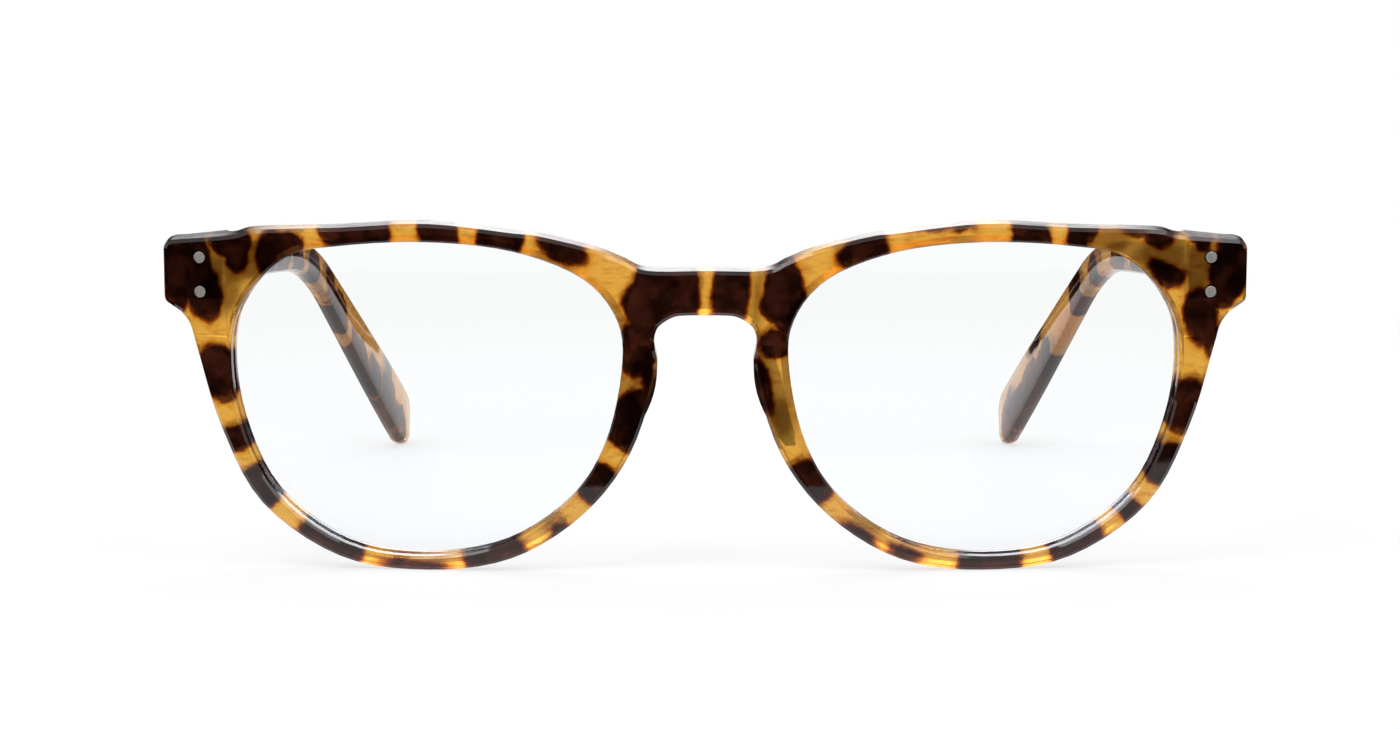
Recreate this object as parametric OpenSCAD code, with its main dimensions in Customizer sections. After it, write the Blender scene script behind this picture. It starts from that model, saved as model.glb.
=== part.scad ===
// Full-rim plastic glasses with a keyhole bridge, riveted hinges and folding temples.
// The front is drawn in its own plane: x across, z up, y from the front face to the wearer.

/* [Lens openings] */
// Width of each lens opening along its own face
lens_width = 52; // [48:0.5:54]
// Height of each lens opening
lens_height = 42.1; // [39:0.1:44]
// Distance between the two lens openings
bridge_width = 22; // [19:0.5:25]

/* [Front] */
// Distance by which an end piece stands out past the lens opening
end_reach = 8.7; // [8.2:0.05:9.4]
// Thickness of the front
front_thickness = 4; // [3.4:0.1:4.6]
// Radius of the face-form curve of the front
front_radius = 320; // [280:5:420]
// Width of the rim under the lens
rim_bottom = 1.85; // [1.6:0.05:2.6]
// Width of the rim over the lens
rim_top = 2.4; // [2:0.05:3.2]
// Width of the rim beside the temple
rim_side = 2.7; // [2.2:0.05:3.4]
// Width of the rim beside the nose
rim_nose = 3.7; // [3.2:0.05:4.4]
// Height of the bridge from its arch to its top edge
bridge_height = 5.9; // [4.5:0.1:7]
// Height of the top edge of the bridge over the middle of the lenses
bridge_rise = 17.6; // [16:0.1:19]
// Widest half of the keyhole
keyhole_half = 6.7; // [6:0.1:7.6]
// Chamfer on the outer edges of the front
edge_chamfer = 0.45; // [0.2:0.05:0.6]
// Chamfer on the edges of the lens openings
opening_chamfer = 0.3; // [0.15:0.05:0.4]

/* [End pieces] */
// Height of the end piece at its outer side
end_height = 8.2; // [7.4:0.1:9.4]
// Height of the top of the end piece over the middle of the lenses
end_rise = 20.4; // [19:0.1:21.5]
// Radius of the upper corner of the end piece
end_corner = 1.3; // [0.8:0.1:2]
// Radius of the lower corner of the end piece
end_round = 1.1; // [0.8:0.05:1.4]
// Width of the thicker pad behind the end piece
end_pad_width = 8.3; // [7.8:0.1:9]
// Distance by which the pad runs down behind the rim below the end piece
end_pad_drop = 5; // [4:0.5:6]
// Thickness that the pad adds behind the shell at the middle of the hinge
end_pad_extra = 0.55; // [0.4:0.05:1]

/* [Lenses] */
// Thickness of a lens
lens_thickness = 2; // [1.6:0.1:2.4]
// Radius of the lens surfaces
lens_radius = 130; // [110:5:180]
// Depth of the groove that holds the lens
groove_depth = 0.8; // [0.5:0.05:1]
// Distance from the front face to the middle of the groove
groove_setback = 2; // [1.7:0.05:2.2]
// Clearance between lens and groove
lens_clearance = 0.06; // [0.03:0.01:0.1]

/* [Nose pads] */
// Length of a nose pad
pad_length = 13.5; // [11:0.5:15]
// Depth of a nose pad behind the front
pad_depth = 5; // [4:0.1:6]
// Width of a nose pad where it is bonded to the rim
pad_width = 3; // [2.6:0.1:3.4]
// Distance by which a nose pad stands out from the edge of the rim
pad_bulge = 0.5; // [0.2:0.05:0.8]
// Angle by which the pads spread towards the wearer
pad_splay = 20; // [12:1:28]

/* [Hinges] */
// Distance of the rivets from the outer side of the end piece
rivet_inset = 4.85; // [4.4:0.05:5.2]
// Distance between the two rivets of an end piece
rivet_spacing = 4.6; // [4:0.1:5]
// Diameter of a rivet
rivet_diameter = 1.8; // [1.5:0.1:2]
// Outer diameter of the hinge barrel
barrel_diameter = 3.2; // [2.8:0.1:3.4]
// Diameter of the hinge screw
screw_diameter = 1.4; // [1.2:0.1:1.6]
// Diameter of the head of the hinge screw
screw_head_diameter = 2.4; // [2:0.1:2.6]
// Height of the whole hinge barrel
barrel_height = 7; // [6:0.1:7.4]
// Thickness of a hinge leaf
leaf_thickness = 0.9; // [0.7:0.05:1.1]
// Height of the front hinge leaf
leaf_height = 7.2; // [6.6:0.1:7.4]
// Width of the front hinge leaf
leaf_width = 6; // [5.4:0.1:6.2]
// Length of the temple hinge leaf
temple_leaf_length = 10; // [9:0.1:12]
// Height of the temple hinge leaf
temple_leaf_height = 5.6; // [5:0.1:6.2]
// Distance between the two rivets of a temple
temple_rivet_spacing = 3.6; // [3:0.1:4.2]
// Distance of the first temple rivet from the front end of the temple
temple_rivet_start = 3.8; // [3.4:0.1:4.2]
// Distance by which the hinge sits below the middle of the end piece
hinge_drop = 0.35; // [0:0.05:0.6]
// Height of the head of the hinge screw
screw_head_height = 0.7; // [0.5:0.05:0.9]
// Clearance between the knuckles, and round the barrel
hinge_clearance = 0.1; // [0.06:0.01:0.15]
// Clearance of a leaf or rivet in its seat
seat_clearance = 0.02; // [0.01:0.01:0.05]
// Height by which the rivets stand out of the plastic
rivet_proud = 0.08; // [0.05:0.01:0.15]
// Radial clearance of the screw in the turning knuckles
screw_clearance = 0.04; // [0.02:0.01:0.08]

/* [Temples] */
// Length of a temple along its middle line
temple_length = 150; // [140:1:155]
// Length of the straight part up to the bend
temple_straight = 77; // [70:1:90]
// Radius of the bend
bend_radius = 44; // [30:1:50]
// Angle of the bend
bend_angle = 28; // [22:1:34]
// Slope of the temples against the front
temple_tilt = 9; // [6:0.5:11]
// Thickness of a temple at the hinge
temple_thickness = 3; // [2.8:0.1:3.6]
// Thickness of a temple near its tip
temple_tip_thickness = 2.6; // [2.2:0.1:3.4]
// Height of a temple at the hinge
temple_root_height = 8.2; // [7.6:0.1:9.2]
// Height of a temple before the bend
temple_mid_height = 4.8; // [4.4:0.1:7]
// Height of a temple near its tip
temple_tip_height = 9.6; // [7:0.1:10]
// Distance by which the tips lean in over the hinges
temple_lean_in = 20.5; // [14:0.5:22]
// Distance of the outer face of a temple from the outer side of the end piece
temple_inset = 0.3; // [0.1:0.05:0.5]
// Radius of the rounded edges of a temple
temple_edge = 1; // [0.6:0.1:1.3]
// Gap between the end piece and the open temple
butt_gap = 0.15; // [0.1:0.01:0.3]

/* [Hidden] */

// A small overlap that lets one cut pass cleanly through a face
past = 0.3;
// How far blocks that cut or trim reach past the part
overreach = 10;
curve_steps = 5;
shell_facets = 720;
lens_facets = 256;
round_facets = 48;

lens_angle = asin((bridge_width / 2 + lens_width / 2) / front_radius);
lens_x = bridge_width / 2 + lens_width / 2 * cos(lens_angle);
half_front = lens_x + lens_width / 2 * cos(lens_angle) + end_reach;
lens_y = front_radius - sqrt(front_radius * front_radius - lens_x * lens_x);
lens_z = rim_bottom + lens_height / 2;
lens_top = lens_z + lens_height / 2;
bridge_top = lens_z + bridge_rise;
arch_top = bridge_top - bridge_height;
end_top = lens_z + end_rise;
end_bottom = end_top - end_height;

// The lens opening in half widths and half heights from its middle, for the right eye
lens_shape = [[1, 0.28], [0.93, 0.6], [0.71, 0.88], [0.42, 0.965], [-0.02, 1], [-0.45, 0.95],
              [-0.8, 0.785], [-0.975, 0.52], [-0.995, 0.2], [-0.91, -0.26], [-0.72, -0.63],
              [-0.4, -0.905], [0, -1], [0.42, -0.93], [0.78, -0.62], [0.955, -0.17]];

// Smooth curve through four neighbouring points
function blend_point(a, b, c, d, t) =
    (2 * b + (c - a) * t + (2 * a - 5 * b + 4 * c - d) * t * t + (3 * b - a - 3 * c + d) * t * t * t) / 2;

function closed_curve(p, steps) =
    let (n = len(p))
    [for (i = [0:n - 1]) for (k = [0:steps - 1])
        blend_point(p[(i + n - 1) % n], p[i], p[(i + 1) % n], p[(i + 2) % n], k / steps)];

function open_curve(p, steps) =
    let (n = len(p), q = concat([2 * p[0] - p[1]], p, [2 * p[n - 1] - p[n - 2]]))
    concat([for (i = [0:n - 2]) for (k = [0:steps - 1])
        blend_point(q[i], q[i + 1], q[i + 2], q[i + 3], k / steps)], [p[n - 1]]);

function arc_points(middle, radius, from, to, steps) =
    [for (k = [0:steps]) let (a = from + (to - from) * k / steps) middle + radius * [cos(a), sin(a)]];

function unit(v) = v / norm(v);

// Outward normals of a closed outline that runs anticlockwise
function outline_normals(p) =
    let (n = len(p))
    [for (i = [0:n - 1]) let (t = unit(p[(i + 1) % n] - p[(i + n - 1) % n])) [t[1], -t[0]]];

function grown_outline(p, by) =
    let (m = outline_normals(p)) [for (i = [0:len(p) - 1]) p[i] + by * m[i]];

lens_control = [for (p = lens_shape) [p[0] * lens_width / 2, p[1] * lens_height / 2]];
lens_outline = closed_curve(lens_control, curve_steps);

// Points of the front's outline that lie one rim width outside the opening
control_normals = outline_normals(lens_control);
function rim_point(i, width) =
    let (p = lens_control[i] + width * control_normals[i])
    [lens_x + p[0] * cos(lens_angle), lens_z + p[1]];

// The top edge beside the bridge, in keyhole halves across and bridge heights over its top
bridge_shape = [[0, 0], [1.1343, 0], [1.6269, 0.2288], [2.2239, 0.4831]];
// The keyhole up to its arch, in keyhole halves across and over the top of the arch
keyhole_shape = [[0.9851, -0.6567], [1, -0.4627], [0.9104, -0.2239], [0.6269, -0.0373], [0.3333, 0], [0, 0]];
// The end piece's edges, in end reaches in from its outer side and end heights over or under it
end_top_shape = [[1.4322, 0.2073], [1.0345, 0.1037]];
end_under_shape = [[0.2529, -0.1646], [0.3908, -0.3659]];

top_line = open_curve(concat(
    [for (p = bridge_shape) [p[0] * keyhole_half, bridge_top + p[1] * bridge_height]],
    [[lens_x - lens_width * 0.29, lens_top + rim_top * 0.4167],
     rim_point(5, rim_top),
     rim_point(4, rim_top),
     rim_point(3, rim_top)],
    [for (p = end_top_shape) [half_front - p[0] * end_reach, end_top + p[1] * end_height]],
    [[half_front - end_corner, end_top]]), curve_steps);

lower_line = open_curve(concat(
    [for (p = end_under_shape) [half_front - p[0] * end_reach, end_bottom + p[1] * end_height]],
    [rim_point(0, rim_side * 1.65),
     rim_point(15, rim_side),
     rim_point(14, (rim_side + rim_bottom) / 2),
     rim_point(13, rim_bottom * 1.054),
     rim_point(12, rim_bottom),
     rim_point(11, rim_bottom * 1.216),
     rim_point(10, (rim_nose + rim_bottom) / 2),
     rim_point(9, rim_nose),
     rim_point(8, rim_nose * 1.27)],
    [for (p = keyhole_shape) [p[0] * keyhole_half, arch_top + p[1] * keyhole_half]]), curve_steps);

right_outline = concat(
    top_line,
    arc_points([half_front - end_corner, end_top - end_corner], end_corner, 75, 0, 4),
    arc_points([half_front - end_round, end_bottom + end_round * 0.6], end_round, 0, -50, 3),
    lower_line);

// The right half runs clockwise from the top of the bridge to the top of the arch
function mirrored(p) = [for (i = [len(p) - 1:-1:0]) [-p[i][0], p[i][1]]];
half_count = len(right_outline);
front_outline = concat(
    mirrored([for (i = [1:half_count - 2]) right_outline[i]]),
    right_outline);
// The same outline anticlockwise, for the edge cuts
front_loop = [for (i = [len(front_outline) - 1:-1:0]) front_outline[i]];

// Distance behind the tangent plane of a point that lies deep in the curved front
function shell_y(x, deep) =
    front_radius - sqrt((front_radius - deep) * (front_radius - deep) - x * x);

end_middle = (end_top + end_bottom) / 2;
hinge_z = end_middle - hinge_drop;
pad_start = half_front - end_pad_width;
rivet_x = half_front - rivet_inset;
seat_y = shell_y(rivet_x, front_thickness) + end_pad_extra;

barrel_radius = barrel_diameter / 2;
barrel_standoff = barrel_radius + hinge_clearance;
temple_outer = half_front - temple_inset;
temple_inner = temple_outer - temple_thickness;
axis_x = temple_inner - barrel_standoff;
axis_y = seat_y + barrel_standoff;
temple_start = seat_y + butt_gap;

knuckle_count = 5;
knuckle_pitch = barrel_height / knuckle_count;
knuckle_height = knuckle_pitch - hinge_clearance;

function signed_area(p) =
    let (n = len(p), parts = [for (i = [0:n - 1]) cross(p[i], p[(i + 1) % n])])
    parts * [for (i = parts) 0.5];

// Solid through a row of rings that all have the same number of points.
// A closed one joins its last ring to its first, an open one has flat ends.
module loft(rings, closed) {
    n = len(rings);
    m = len(rings[0]);
    last = closed ? n - 1 : n - 2;
    points = [for (ring = rings) for (p = ring) p];
    sides = [for (i = [0:last]) for (k = [0:m - 1])
        let (a = i * m + k, b = i * m + (k + 1) % m, c = ((i + 1) % n) * m + (k + 1) % m,
             d = ((i + 1) % n) * m + k)
        for (t = [[a, b, c], [a, c, d]]) t];
    ends = closed ? [] : [[for (k = [m - 1:-1:0]) k], [for (k = [0:m - 1]) (n - 1) * m + k]];
    polyhedron(points = points, faces = concat(sides, ends));
}

// Ring swept along an anticlockwise line, a profile point is [outwards, deep].
// A rear one runs out behind the end pads, whose edges stay sharp against the temples.
function on_pad(x, z) = abs(x) > pad_start && z > end_bottom - end_pad_drop;
module sweep(line, normals, profile, rear = false) {
    m = len(profile);
    lowest = min([for (q = profile) q[1]]);
    turned = signed_area(profile) > 0 ? [for (k = [m - 1:-1:0]) profile[k]] : profile;
    loft([for (i = [0:len(line) - 1]) [for (q = turned)
        let (x = line[i][0] + q[0] * normals[i][0], z = line[i][1] + q[0] * normals[i][1])
        [x, rear && on_pad(x, z) ? seat_y + past + q[1] - lowest : shell_y(x, q[1]), z]]], true);
}

// Cut along an outer edge: from the face inwards by the chamfer on both sides
function outer_cut(size, face, way) =
    [[-size - past, face - way * past], [past, face - way * past], [past, face + way * (size + past)]];
function inner_cut(size, face, way) =
    [[size + past, face - way * past], [-past, face - way * past], [-past, face + way * (size + past)]];

// Places what is drawn in the plane of one lens, for the right side
module in_lens_plane() {
    translate([lens_x, lens_y, lens_z]) rotate([0, 0, lens_angle]) children();
}

// Turns a flat outline into a block along y, from near to far
module through(near, far) {
    translate([0, far, 0]) rotate([90, 0, 0]) linear_extrude(height = far - near) children();
}

module both_sides() {
    children();
    mirror([1, 0, 0]) children();
}

// The middle line of a temple from the side: y, z and how steeply it falls, at a length s
bend_length = bend_radius * bend_angle * PI / 180;
function temple_line(s) =
    let (straight = min(s, temple_straight),
         turn = min(max(s - temple_straight, 0), bend_length) / bend_radius * 180 / PI,
         beyond = max(s - temple_straight - bend_length, 0),
         fall = temple_tilt + turn)
    [temple_start + straight * cos(temple_tilt) + bend_radius * (sin(fall) - sin(temple_tilt))
        + beyond * cos(fall),
     end_middle - straight * sin(temple_tilt) - bend_radius * (cos(temple_tilt) - cos(fall))
        - beyond * sin(fall),
     fall];

// How far a temple has leant in at a length s: a bow up to the bend, then straight on
bow = temple_lean_in / (temple_straight * (2 * temple_length - temple_straight));
function lean_in(s) =
    s < temple_straight ? bow * s * s : bow * temple_straight * (2 * s - temple_straight);

// The whole stands on the rims and on the round temple tips, and so leans by this angle
tip_radius = temple_tip_height / 2;
tip_middle = temple_line(temple_length - tip_radius);
rim_foot = [shell_y(lens_x, 0) + edge_chamfer, 0];
tip_reach = [tip_middle[0] - rim_foot[0], rim_foot[1] - tip_middle[1]];
front_lean = atan2(tip_reach[1], tip_reach[0]) + asin(tip_radius / norm(tip_reach));

// The middle of the whole depth comes over the origin, and the feet onto the ground
front_reach = -(bridge_top - edge_chamfer) * sin(front_lean);
back_reach = tip_middle[0] * cos(front_lean) - tip_middle[1] * sin(front_lean) + tip_radius;
stand_back = (front_reach + back_reach) / 2;
stand_up = -rim_foot[0] * sin(front_lean);
module standing() {
    translate([0, -stand_back, stand_up]) rotate([front_lean, 0, 0]) children();
}

// Upright cylinder on the front's curve, deep behind its face, that stands over it by some steps
module front_curve(deep, steps) {
    translate([0, front_radius, -steps * overreach])
        cylinder(r = front_radius - deep, h = end_top + 2 * steps * overreach, $fn = shell_facets);
}

module shell() {
    difference() {
        front_curve(0, 1);
        front_curve(front_thickness, 2);
    }
}

module end_pad() {
    block([pad_start, seat_y - front_thickness / 2, end_bottom - end_pad_drop],
          [half_front + overreach, seat_y, end_top + overreach]);
}

module front_body() {
    intersection() {
        through(-overreach, seat_y + overreach) polygon(front_outline);
        difference() {
            union() {
                shell();
                both_sides() end_pad();
            }
            both_sides()
                block([pad_start - past, seat_y, -2 * overreach],
                      [half_front + 2 * overreach, seat_y + 2 * overreach, end_top + 2 * overreach]);
            both_sides() hinge_seat();
        }
    }
}

module lens_opening() {
    in_lens_plane() {
        through(-overreach, front_thickness + overreach) polygon(lens_outline);
        m = outline_normals(lens_outline);
        sweep(lens_outline, m,
            [[-past, groove_setback - groove_depth - past], [groove_depth, groove_setback],
             [-past, groove_setback + groove_depth + past]]);
        sweep(lens_outline, m, inner_cut(opening_chamfer, 0, 1));
        sweep(lens_outline, m, inner_cut(opening_chamfer, front_thickness, -1));
    }
}

// Holes and seat that the hinge needs in the right end piece
module hinge_seat() {
    wide = leaf_width / 2 + seat_clearance;
    high = leaf_height / 2 + seat_clearance;
    block([rivet_x - wide, seat_y - leaf_thickness - seat_clearance, hinge_z - high],
          [rivet_x + wide, seat_y + past, hinge_z + high]);
    for (side = [-1, 1])
        front_rivet_place(side) rivet_hole();
}

module front_rivet_place(side) {
    translate([rivet_x, seat_y, hinge_z + side * rivet_spacing / 2])
        rotate([90, 0, 0]) children();
}

module front_frame() {
    color([0.55, 0.33, 0.08])
    standing()
    difference() {
        front_body();
        both_sides() lens_opening();
        sweep(front_loop, outline_normals(front_loop), outer_cut(edge_chamfer, 0, 1));
        sweep(front_loop, outline_normals(front_loop), outer_cut(edge_chamfer, front_thickness, -1), true);
    }
}

// A lens is cut from a spherical shell, with a bevel all round that sits in the groove
lens_sag = lens_radius - sqrt(lens_radius * lens_radius - pow(lens_height / 2, 2));
module lens_right() {
    bevel = groove_depth - lens_clearance;
    flat = lens_clearance;
    cut = 2 * groove_depth;
    front_y = groove_setback - lens_thickness / 2 - lens_sag;
    m = outline_normals(lens_outline);
    in_lens_plane()
    difference() {
        intersection() {
            through(-overreach, front_thickness + overreach)
                polygon(grown_outline(lens_outline, bevel - flat));
            translate([0, front_y + lens_radius, 0]) sphere(r = lens_radius, $fn = lens_facets);
        }
        translate([0, front_y + lens_thickness + lens_radius, 0])
            sphere(r = lens_radius, $fn = lens_facets);
        for (way = [-1, 1])
            sweep(lens_outline, m,
                [[-lens_clearance, groove_setback - way * groove_depth],
                 [-lens_clearance, groove_setback - way * 2 * cut],
                 [cut, groove_setback - way * 2 * cut],
                 [cut, groove_setback + way * (cut - bevel)]]);
    }
}

module left_lens() {
    color([0.82, 0.9, 0.95, 0.4]) standing() mirror([1, 0, 0]) lens_right();
}

module right_lens() {
    color([0.82, 0.9, 0.95, 0.4]) standing() lens_right();
}

// A nose pad follows the nasal edge of the rim and is bonded to the back of the front
nasal_edge = [for (i = [8 * curve_steps:12 * curve_steps]) [lower_line[i][1], lower_line[i][0]]];
pad_top = arch_top + keyhole_shape[0][1] * keyhole_half;
pad_rings = 12;
pad_ring_points = 12;
function pad_ring(t) =
    let (rise = sin(180 * (0.03 + 0.94 * t)),
         z = pad_top - pad_length * t,
         edge = lookup(z, nasal_edge),
         middle = edge + pad_width / 2 - pad_bulge * rise,
         back = shell_y(edge, front_thickness))
    [for (k = [0:pad_ring_points - 1]) let (
        a = -360 * k / pad_ring_points,
        deep = pad_depth * sqrt(rise) * max(sin(a), -0.2))
        [middle - pad_width / 2 * (0.35 + 0.65 * rise) * cos(a) + deep * tan(pad_splay), back + deep, z]];
module nose_pad_right() {
    intersection() {
        loft([for (i = [0:pad_rings]) pad_ring(i / pad_rings)], false);
        front_curve(front_thickness, 1);
    }
}

module left_nose_pad() {
    color([0.3, 0.16, 0.06]) standing() mirror([1, 0, 0]) nose_pad_right();
}

module right_nose_pad() {
    color([0.3, 0.16, 0.06]) standing() nose_pad_right();
}

// One knuckle of the hinge barrel with its bore, number 0 is the lowest
screw_radius = screw_diameter / 2;
neck_half = 0.8 * barrel_radius;
module knuckle(number, clearance, neck_to) {
    translate([axis_x, axis_y, hinge_z - barrel_height / 2 + number * knuckle_pitch + hinge_clearance / 2])
    difference() {
        union() {
            cylinder(r = barrel_radius, h = knuckle_height, $fn = round_facets);
            rotate([0, 0, neck_to]) translate([0, -neck_half, 0])
                cube([barrel_standoff + leaf_thickness / 2, 2 * neck_half, knuckle_height]);
        }
        translate([0, 0, -past])
            cylinder(r = screw_radius + clearance, h = knuckle_height + 2 * past, $fn = round_facets);
    }
}

// Straight block from a low to a high corner
module block(low, high) {
    translate(low) cube(high - low);
}

module front_leaf_right() {
    difference() {
        union() {
            block([rivet_x - leaf_width / 2, seat_y - leaf_thickness, hinge_z - leaf_height / 2],
                  [rivet_x + leaf_width / 2, seat_y, hinge_z + leaf_height / 2]);
            for (number = [0, 2, 4]) knuckle(number, seat_clearance, -90);
        }
        for (side = [-1, 1]) front_rivet_place(side) rivet_hole();
    }
}

module left_front_hinge_leaf() {
    color([0.78, 0.78, 0.8]) standing() mirror([1, 0, 0]) front_leaf_right();
}

module right_front_hinge_leaf() {
    color([0.78, 0.78, 0.8]) standing() front_leaf_right();
}

// The screw fills the whole barrel, and its slotted head lies on the top knuckle
module screw_right() {
    head_low = knuckle_count * knuckle_pitch - hinge_clearance / 2;
    slot_width = screw_head_diameter / 8;
    translate([axis_x, axis_y, hinge_z - barrel_height / 2])
    difference() {
        union() {
            translate([0, 0, hinge_clearance / 2])
                cylinder(r = screw_radius, h = head_low, $fn = round_facets);
            translate([0, 0, head_low])
                cylinder(d = screw_head_diameter, h = screw_head_height, $fn = round_facets);
        }
        block([-screw_head_diameter, -slot_width / 2, head_low + screw_head_height / 2],
              [screw_head_diameter, slot_width / 2, head_low + 2 * screw_head_height]);
    }
}

module left_hinge_screw() {
    color([0.6, 0.6, 0.62]) standing() mirror([1, 0, 0]) screw_right();
}

module right_hinge_screw() {
    color([0.6, 0.6, 0.62]) standing() screw_right();
}

// A front rivet ends in the leaf's back face, and its head follows the curve of the front
module front_rivet_right(side) {
    intersection() {
        front_rivet_place(side) cylinder(d = rivet_diameter, h = 2 * front_thickness, $fn = round_facets);
        translate([0, front_radius, 0])
            cylinder(r = front_radius + rivet_proud, h = 2 * end_top, $fn = shell_facets);
    }
}

module left_upper_front_rivet() {
    color([0.7, 0.7, 0.72]) standing() mirror([1, 0, 0]) front_rivet_right(1);
}

module left_lower_front_rivet() {
    color([0.7, 0.7, 0.72]) standing() mirror([1, 0, 0]) front_rivet_right(-1);
}

module right_upper_front_rivet() {
    color([0.7, 0.7, 0.72]) standing() front_rivet_right(1);
}

module right_lower_front_rivet() {
    color([0.7, 0.7, 0.72]) standing() front_rivet_right(-1);
}

// Section of a temple at a length s, a block with rounded edges
tip_start = temple_length - tip_radius;
function eased(t) = t * t * (3 - 2 * t);
function temple_height(s) =
    s < temple_straight
    ? temple_root_height + (temple_mid_height - temple_root_height) * eased(max(s, 0) / temple_straight)
    : temple_mid_height + (temple_tip_height - temple_mid_height)
        * eased((min(s, tip_start) - temple_straight) / (tip_start - temple_straight));
function temple_width(s) =
    temple_thickness + (temple_tip_thickness - temple_thickness) * max(s, 0) / temple_length;
function temple_section(s) =
    let (share = sqrt(1 - pow(max(s - tip_start, 0) / tip_radius, 2)),
         high = temple_height(s) * share / 2,
         wide = temple_width(s) * (0.4 + 0.6 * share) / 2,
         edge = min(temple_edge, 0.8 * high),
         line = temple_line(s))
    [for (corner = [0:3]) for (k = [0:2]) let (
        a = 90 * corner + 45 * k,
        middle = [(corner == 0 || corner == 3 ? 1 : -1) * (wide - edge),
                  (corner < 2 ? 1 : -1) * (high - edge)],
        q = middle + edge * [cos(a), sin(a)])
        [temple_outer - temple_thickness / 2 - lean_in(s) + q[0],
         line[0] + q[1] * sin(line[2]), line[1] + q[1] * cos(line[2])]];

temple_stations = concat(
    [for (i = [0:16]) (temple_straight + 2) * i / 16 - 2],
    [for (i = [1:8]) temple_straight + bend_length * i / 8],
    [for (i = [1:8]) temple_straight + bend_length + (tip_start - temple_straight - bend_length) * i / 8],
    [for (a = [15, 30, 45, 60, 72, 84]) tip_start + tip_radius * sin(a)]);

// Places what is drawn on the inner face of the right temple, its front end at y = 0
module on_temple() {
    translate([temple_inner, temple_start, end_middle]) rotate([-temple_tilt, 0, 0]) children();
}

// Everything in front of the open temple's front end
module before_temple() {
    block([axis_x - overreach, temple_start - 2 * overreach, 0],
          [half_front + overreach, temple_start, 2 * end_top]);
}

module temple_rivet_place(number) {
    on_temple() translate([0, temple_rivet_start + number * temple_rivet_spacing, 0]) rotate([0, 90, 0])
        children();
}

module rivet_hole() {
    cylinder(r = rivet_diameter / 2 + seat_clearance, h = 2 * overreach, center = true, $fn = round_facets);
}

module temple_right() {
    c = seat_clearance;
    difference() {
        loft([for (s = temple_stations) temple_section(s)], false);
        before_temple();
        on_temple()
            block([-overreach, -overreach, -temple_leaf_height / 2 - c],
                  [leaf_thickness + c, temple_leaf_length + c, temple_leaf_height / 2 + c]);
        for (number = [0, 1]) temple_rivet_place(number) rivet_hole();
    }
}

module left_temple() {
    color([0.5, 0.3, 0.08]) standing() mirror([1, 0, 0]) temple_right();
}

module right_temple() {
    color([0.5, 0.3, 0.08]) standing() temple_right();
}

module temple_leaf_right() {
    difference() {
        union() {
            on_temple()
                block([0, -leaf_thickness, -temple_leaf_height / 2],
                      [leaf_thickness, temple_leaf_length, temple_leaf_height / 2]);
            for (number = [1, 3]) knuckle(number, screw_clearance, 0);
        }
        before_temple();
        for (number = [0, 1]) temple_rivet_place(number) rivet_hole();
    }
}

module left_temple_hinge_leaf() {
    color([0.78, 0.78, 0.8]) standing() mirror([1, 0, 0]) temple_leaf_right();
}

module right_temple_hinge_leaf() {
    color([0.78, 0.78, 0.8]) standing() temple_leaf_right();
}

module temple_rivet_right(number) {
    temple_rivet_place(number)
        cylinder(d = rivet_diameter, h = temple_thickness + rivet_proud, $fn = round_facets);
}

module left_front_temple_rivet() {
    color([0.7, 0.7, 0.72]) standing() mirror([1, 0, 0]) temple_rivet_right(0);
}

module left_rear_temple_rivet() {
    color([0.7, 0.7, 0.72]) standing() mirror([1, 0, 0]) temple_rivet_right(1);
}

module right_front_temple_rivet() {
    color([0.7, 0.7, 0.72]) standing() temple_rivet_right(0);
}

module right_rear_temple_rivet() {
    color([0.7, 0.7, 0.72]) standing() temple_rivet_right(1);
}

front_frame();
left_lens();
right_lens();
left_nose_pad();
right_nose_pad();
left_front_hinge_leaf();
right_front_hinge_leaf();
left_hinge_screw();
right_hinge_screw();
left_upper_front_rivet();
left_lower_front_rivet();
right_upper_front_rivet();
right_lower_front_rivet();
left_temple();
right_temple();
left_temple_hinge_leaf();
right_temple_hinge_leaf();
left_front_temple_rivet();
left_rear_temple_rivet();
right_front_temple_rivet();
right_rear_temple_rivet();
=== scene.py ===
import logging
import math
from dataclasses import dataclass, replace
from enum import Enum
from typing import Any, Sequence, Union

import bpy
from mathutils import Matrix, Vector


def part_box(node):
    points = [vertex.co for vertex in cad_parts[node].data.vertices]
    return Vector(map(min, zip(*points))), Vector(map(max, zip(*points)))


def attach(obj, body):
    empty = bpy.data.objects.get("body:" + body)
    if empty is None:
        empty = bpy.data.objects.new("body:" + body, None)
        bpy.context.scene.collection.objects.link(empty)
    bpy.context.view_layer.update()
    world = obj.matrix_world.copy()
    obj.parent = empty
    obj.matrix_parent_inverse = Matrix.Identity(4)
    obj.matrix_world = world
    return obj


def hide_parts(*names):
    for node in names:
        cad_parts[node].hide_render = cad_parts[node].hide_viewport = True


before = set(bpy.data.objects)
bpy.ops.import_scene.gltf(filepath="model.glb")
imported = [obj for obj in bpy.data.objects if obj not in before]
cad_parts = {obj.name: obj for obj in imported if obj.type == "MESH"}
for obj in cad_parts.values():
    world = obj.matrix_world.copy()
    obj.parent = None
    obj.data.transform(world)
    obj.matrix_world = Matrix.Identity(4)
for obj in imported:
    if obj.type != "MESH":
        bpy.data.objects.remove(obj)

log = logging.getLogger("glasses")

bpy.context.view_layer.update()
MM = 0.001
MILLIMETRES = (MM, MM, MM)
FRONT_LEAN = math.radians(5.6612)
WHITE = (1.0, 1.0, 1.0, 1.0)
Number = Union[int, float]


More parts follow.
